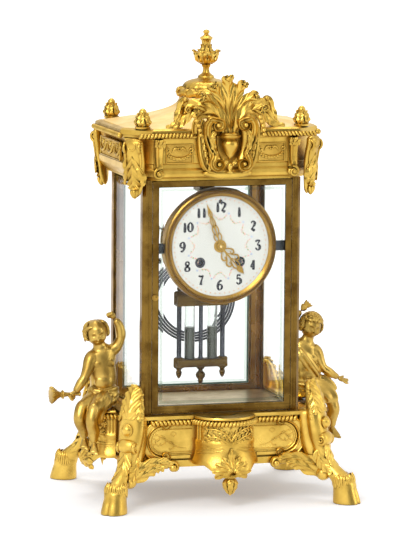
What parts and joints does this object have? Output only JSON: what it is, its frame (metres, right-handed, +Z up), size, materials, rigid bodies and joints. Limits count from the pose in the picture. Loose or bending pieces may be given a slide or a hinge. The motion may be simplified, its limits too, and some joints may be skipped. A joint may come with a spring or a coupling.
{
  "type": "table clock",
  "caption": "Gilt four-glass mantel clock with opening doors, geared hands, mercury pendulum and coiled gong on a scrolled base.",
  "frame": {"origin": "on the floor, under the middle of the whole box; the glazed case stands 7.5 mm to the right of it, because the torch reaches further on the left", "axes": "+X to the viewer's right, +Y to the back, +Z up; the dial faces -Y"},
  "size_m": [0.2822, 0.2066, 0.42],
  "materials": {
    "gilt": "burnished and matte gilding",
    "brass": "lacquered antique brass",
    "steel": "blued dark steel",
    "enamel": "white fired enamel",
    "plate_glass": "polished with bevelled edges",
    "jar_glass": "clear drawn tube",
    "mercury": "liquid mirror",
    "wheel_brass": "polished"
  },
  "bodies": {
    "case": {"base_plinth": "gilt", "leg_front_left": "gilt", "leg_front_right": "gilt", "leg_rear_left": "gilt", "leg_rear_right": "gilt", "front_bow": "gilt", "side_bow_left": "gilt", "side_bow_right": "gilt", "cherub_left": "gilt", "cherub_right": "gilt", "torch": "gilt", "post_front_left": "brass", "post_front_right": "brass", "post_rear_left": "brass", "post_rear_right": "brass", "side_glass_left": "plate_glass", "side_glass_right": "plate_glass", "case_floor": "brass", "case_top_plate": "brass", "entablature": "gilt", "cornice": "gilt", "roof": "gilt", "crest": "gilt", "corner_leaf_front_left": "gilt", "corner_leaf_front_right": "gilt", "corner_leaf_rear_left": "gilt", "corner_leaf_rear_right": "gilt", "corner_finials": "gilt", "wreath": "gilt", "finial": "gilt", "bezel": "gilt", "dial": "enamel", "movement_straps": "steel", "front_plate": "wheel_brass", "back_plate": "wheel_brass", "pillars": "wheel_brass", "suspension": "wheel_brass", "gong_bracket": "wheel_brass", "gong": "steel", "base_nuts": "wheel_brass"},
    "front_door": {"front_door_frame": "brass", "front_door_glass": "plate_glass"},
    "front_latch": {"front_door_knob": "brass"},
    "rear_door": {"rear_door_frame": "brass", "rear_door_glass": "plate_glass"},
    "rear_latch": {"rear_door_knob": "brass"},
    "going_barrel": {"going_barrel": "wheel_brass"},
    "intermediate_arbor": {"intermediate_wheel": "wheel_brass"},
    "centre_arbor": {"centre_wheel": "wheel_brass"},
    "third_arbor": {"third_wheel": "wheel_brass"},
    "escape_arbor": {"escape_wheel": "wheel_brass"},
    "strike_barrel": {"strike_barrel": "wheel_brass"},
    "motion_work": {"minute_wheel": "wheel_brass"},
    "minute_hand": {"minute_hand": "gilt"},
    "hour_hand": {"hour_hand": "gilt"},
    "anchor": {"anchor": "steel"},
    "hammer": {"hammer": "steel"},
    "pendulum": {"pendulum_frame": "wheel_brass", "pendulum_jars": "jar_glass", "mercury": "mercury"}
  },
  "joints": [
    {"name": "front_door_hinge", "type": "hinge", "parent": "case", "child": "front_door", "pos_m": [0.06959, -0.0545, 0.186], "axis": [0, 0, 1], "range_deg": [0, 110]},
    {"name": "rear_door_hinge", "type": "hinge", "parent": "case", "child": "rear_door", "pos_m": [-0.05461, 0.0545, 0.186], "axis": [0, 0, 1], "range_deg": [0, 110]},
    {"name": "front_latch_turn", "type": "hinge", "parent": "front_door", "child": "front_latch", "pos_m": [-0.05441, -0.056, 0.1865], "axis": [0, 1, 0], "range_deg": [-90, 0]},
    {"name": "rear_latch_turn", "type": "hinge", "parent": "rear_door", "child": "rear_latch", "pos_m": [0.06939, 0.056, 0.1865], "axis": [0, 1, 0], "range_deg": [0, 90]},
    {"name": "centre_arbor_turn", "type": "hinge", "parent": "case", "child": "centre_arbor", "pos_m": [0.00749, 0, 0.23], "axis": [0, 1, 0], "continuous": true},
    {"name": "going_barrel_turn", "type": "hinge", "parent": "case", "child": "going_barrel", "pos_m": [0.02599, 0, 0.2156], "axis": [0, 1, 0], "continuous": true},
    {"name": "intermediate_arbor_turn", "type": "hinge", "parent": "case", "child": "intermediate_arbor", "pos_m": [0.02166, 0, 0.23529], "axis": [0, 1, 0], "continuous": true},
    {"name": "third_arbor_turn", "type": "hinge", "parent": "case", "child": "third_arbor", "pos_m": [0.00203, 0, 0.245], "axis": [0, 1, 0], "continuous": true},
    {"name": "escape_arbor_turn", "type": "hinge", "parent": "case", "child": "escape_arbor", "pos_m": [0.00749, 0, 0.25675], "axis": [0, 1, 0], "continuous": true},
    {"name": "minute_hand_turn", "type": "hinge", "parent": "case", "child": "minute_hand", "pos_m": [0.00749, 0, 0.23], "axis": [0, 1, 0], "continuous": true},
    {"name": "motion_work_turn", "type": "hinge", "parent": "case", "child": "motion_work", "pos_m": [-0.00451, 0, 0.23], "axis": [0, 1, 0], "continuous": true},
    {"name": "hour_hand_turn", "type": "hinge", "parent": "case", "child": "hour_hand", "pos_m": [0.00749, 0, 0.23], "axis": [0, 1, 0], "continuous": true},
    {"name": "strike_barrel_turn", "type": "hinge", "parent": "case", "child": "strike_barrel", "pos_m": [-0.01101, 0, 0.2156], "axis": [0, 1, 0], "continuous": true},
    {"name": "pendulum_swing", "type": "hinge", "parent": "case", "child": "pendulum", "pos_m": [0.00749, 0.011, 0.2685], "axis": [0, 1, 0], "range_deg": [-2.5, 2.5]},
    {"name": "anchor_rock", "type": "hinge", "parent": "case", "child": "anchor", "pos_m": [0.00749, 0, 0.2685], "axis": [0, 1, 0], "range_deg": [-2.5, 2.5]},
    {"name": "hammer_lift", "type": "hinge", "parent": "case", "child": "hammer", "pos_m": [-0.02151, 0, 0.237], "axis": [0, 1, 0], "range_deg": [-2, 12], "stiffness_Nm_per_rad": 0.004}
  ],
  "couplings": [
    {"joint": "going_barrel_turn", "follows": "centre_arbor_turn", "ratio": 0.033333},
    {"joint": "intermediate_arbor_turn", "follows": "centre_arbor_turn", "ratio": -0.2},
    {"joint": "third_arbor_turn", "follows": "centre_arbor_turn", "ratio": -5.3333},
    {"joint": "escape_arbor_turn", "follows": "centre_arbor_turn", "ratio": 26.667},
    {"joint": "minute_hand_turn", "follows": "centre_arbor_turn", "ratio": 1},
    {"joint": "motion_work_turn", "follows": "centre_arbor_turn", "ratio": -0.33333},
    {"joint": "hour_hand_turn", "follows": "centre_arbor_turn", "ratio": 0.083333},
    {"joint": "anchor_rock", "follows": "pendulum_swing", "ratio": 1}
  ]
}
